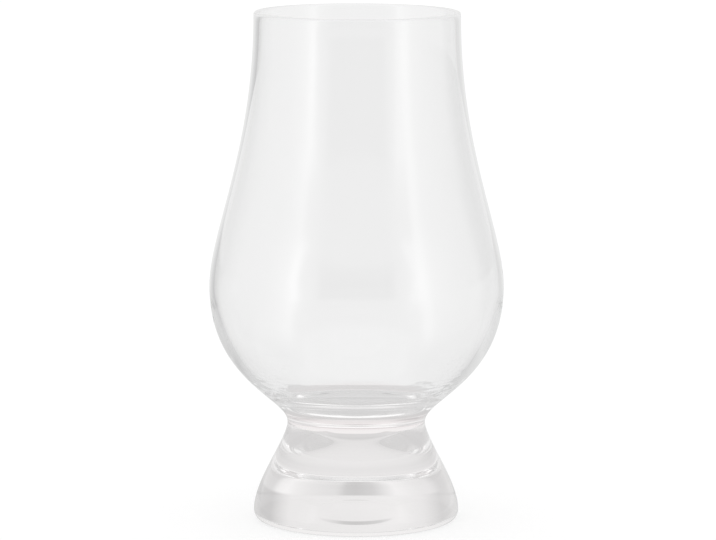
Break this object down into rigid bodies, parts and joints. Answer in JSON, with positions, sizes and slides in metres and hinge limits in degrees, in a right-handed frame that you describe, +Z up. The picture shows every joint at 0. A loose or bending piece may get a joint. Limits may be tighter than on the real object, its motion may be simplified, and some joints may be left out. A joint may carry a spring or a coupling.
{
  "type": "whisky nosing glass",
  "caption": "Stemless tulip-shaped nosing glass in clear glass: a round blown bowl that narrows to a chimney, fused to a short solid flared foot.",
  "frame": {"origin": "on the surface the glass stands on, under the middle of the foot", "axes": "+Z up along the glass's axis of revolution, towards the mouth; +X and +Y are arbitrary because the glass is round"},
  "size_m": [0.0664, 0.0664, 0.115],
  "materials": {
    "bowl_glass": "clear fire-polished blown glass with a faint waviness",
    "foot_glass": "clear fire-polished pressed glass, thick enough to show a faint rose-grey tint"
  },
  "bodies": {
    "root": {"bowl": "bowl_glass", "foot": "foot_glass"}
  },
  "joints": []
}
